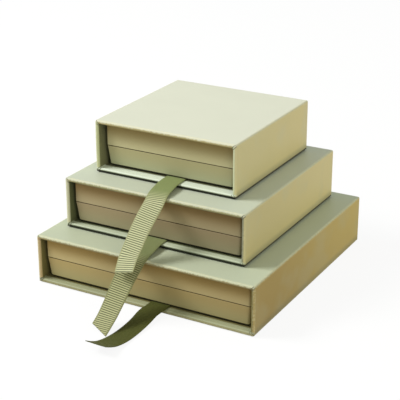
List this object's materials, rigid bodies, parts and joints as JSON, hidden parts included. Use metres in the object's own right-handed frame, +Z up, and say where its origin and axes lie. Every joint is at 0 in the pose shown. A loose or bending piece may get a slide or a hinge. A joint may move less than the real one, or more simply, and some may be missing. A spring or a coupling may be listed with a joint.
{
  "type": "sliding drawer gift box set",
  "caption": "Square paper-covered gift boxes stacked by size, each a board sleeve with a lidded inner box that slides out of its mouth on a ribbon pull.",
  "frame": {"origin": "middle of the large box's footprint, on the surface that the stack stands on", "axes": "+Z up, the mouths of the sleeves face -Y, +X to the right of someone who faces the mouths"},
  "size_m": [0.115, 0.1659, 0.0756],
  "materials": {
    "sleeve_paper": "satin sage-green wrapping paper",
    "tray_paper": "matte sage-green wrapping paper",
    "lid_paper": "matte sage-green wrapping paper",
    "lining_paper": "matte lining paper",
    "greyboard": "raw greyboard",
    "ribbon": "ribbed grosgrain ribbon"
  },
  "bodies": {
    "bottom_sleeve": {"bottom_sleeve_floor_board": "greyboard", "bottom_sleeve_top_board": "greyboard", "bottom_sleeve_left_board": "greyboard", "bottom_sleeve_right_board": "greyboard", "bottom_sleeve_back_board": "greyboard", "bottom_sleeve_cover_paper": "sleeve_paper", "bottom_sleeve_lining_paper": "lining_paper", "bottom_sleeve_back_sheet": "sleeve_paper", "bottom_sleeve_base_sheet": "sleeve_paper"},
    "bottom_drawer": {"bottom_tray_board": "greyboard", "bottom_tray_cover_paper": "tray_paper", "bottom_tray_lining_paper": "lining_paper", "bottom_lid_board": "greyboard", "bottom_lid_cover_paper": "lid_paper", "bottom_lid_lining_paper": "lining_paper", "bottom_hinge_strip": "tray_paper", "bottom_ribbon_tail": "ribbon", "bottom_ribbon_pull": "ribbon"},
    "middle_sleeve": {"middle_sleeve_floor_board": "greyboard", "middle_sleeve_top_board": "greyboard", "middle_sleeve_left_board": "greyboard", "middle_sleeve_right_board": "greyboard", "middle_sleeve_back_board": "greyboard", "middle_sleeve_cover_paper": "sleeve_paper", "middle_sleeve_lining_paper": "lining_paper", "middle_sleeve_back_sheet": "sleeve_paper", "middle_sleeve_base_sheet": "sleeve_paper"},
    "middle_drawer": {"middle_tray_board": "greyboard", "middle_tray_cover_paper": "tray_paper", "middle_tray_lining_paper": "lining_paper", "middle_lid_board": "greyboard", "middle_lid_cover_paper": "lid_paper", "middle_lid_lining_paper": "lining_paper", "middle_hinge_strip": "tray_paper", "middle_ribbon_tail": "ribbon", "middle_ribbon_pull": "ribbon"},
    "top_sleeve": {"top_sleeve_floor_board": "greyboard", "top_sleeve_top_board": "greyboard", "top_sleeve_left_board": "greyboard", "top_sleeve_right_board": "greyboard", "top_sleeve_back_board": "greyboard", "top_sleeve_cover_paper": "sleeve_paper", "top_sleeve_lining_paper": "lining_paper", "top_sleeve_back_sheet": "sleeve_paper", "top_sleeve_base_sheet": "sleeve_paper"},
    "top_drawer": {"top_tray_board": "greyboard", "top_tray_cover_paper": "tray_paper", "top_tray_lining_paper": "lining_paper", "top_lid_board": "greyboard", "top_lid_cover_paper": "lid_paper", "top_lid_lining_paper": "lining_paper", "top_hinge_strip": "tray_paper", "top_ribbon_tail": "ribbon", "top_ribbon_pull": "ribbon"}
  },
  "joints": [
    {"name": "bottom_drawer_slide", "type": "slide", "parent": "bottom_sleeve", "child": "bottom_drawer", "axis": [0, -1, 0], "range_m": [0, 0.1164], "deforming": ["middle_ribbon_pull"]},
    {"name": "middle_box_lift", "type": "slide", "parent": "bottom_sleeve", "child": "middle_sleeve", "axis": [0, 0, 1], "range_m": [0, 0.05]},
    {"name": "middle_drawer_slide", "type": "slide", "parent": "middle_sleeve", "child": "middle_drawer", "axis": [0, -1, 0], "range_m": [0, 0.0944], "deforming": ["top_ribbon_pull"]},
    {"name": "top_box_lift", "type": "slide", "parent": "middle_sleeve", "child": "top_sleeve", "axis": [0, 0, 1], "range_m": [0, 0.05]},
    {"name": "top_drawer_slide", "type": "slide", "parent": "top_sleeve", "child": "top_drawer", "axis": [0, -1, 0], "range_m": [0, 0.0744]}
  ]
}
